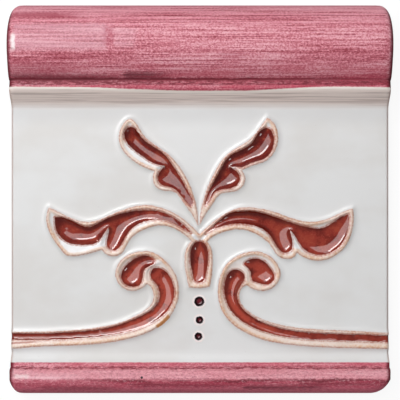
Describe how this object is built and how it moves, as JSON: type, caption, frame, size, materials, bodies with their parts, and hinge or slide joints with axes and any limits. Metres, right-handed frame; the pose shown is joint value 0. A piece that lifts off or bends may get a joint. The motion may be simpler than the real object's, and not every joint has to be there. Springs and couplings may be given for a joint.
{
  "type": "liner tile",
  "caption": "Moulded glazed liner tile with a heavy roll along the top, a flat field with a raised-line palmette and scrolls filled with pooled red glaze, and a bead along the bottom.",
  "frame": {"origin": "centre of the back face, which is the face bedded on the wall; the tile is stored lying on it", "axes": "+Z out of the glazed face, +Y up the wall towards the roll, +X along the course to the right seen from the front"},
  "size_m": [0.15, 0.156, 0.024],
  "materials": {
    "glaze": "glossy off-white glaze, brushed pink mouldings, pooled red glaze in the ornament, unglazed buff back"
  },
  "bodies": {
    "root": {"liner_tile": "glaze"}
  },
  "joints": []
}
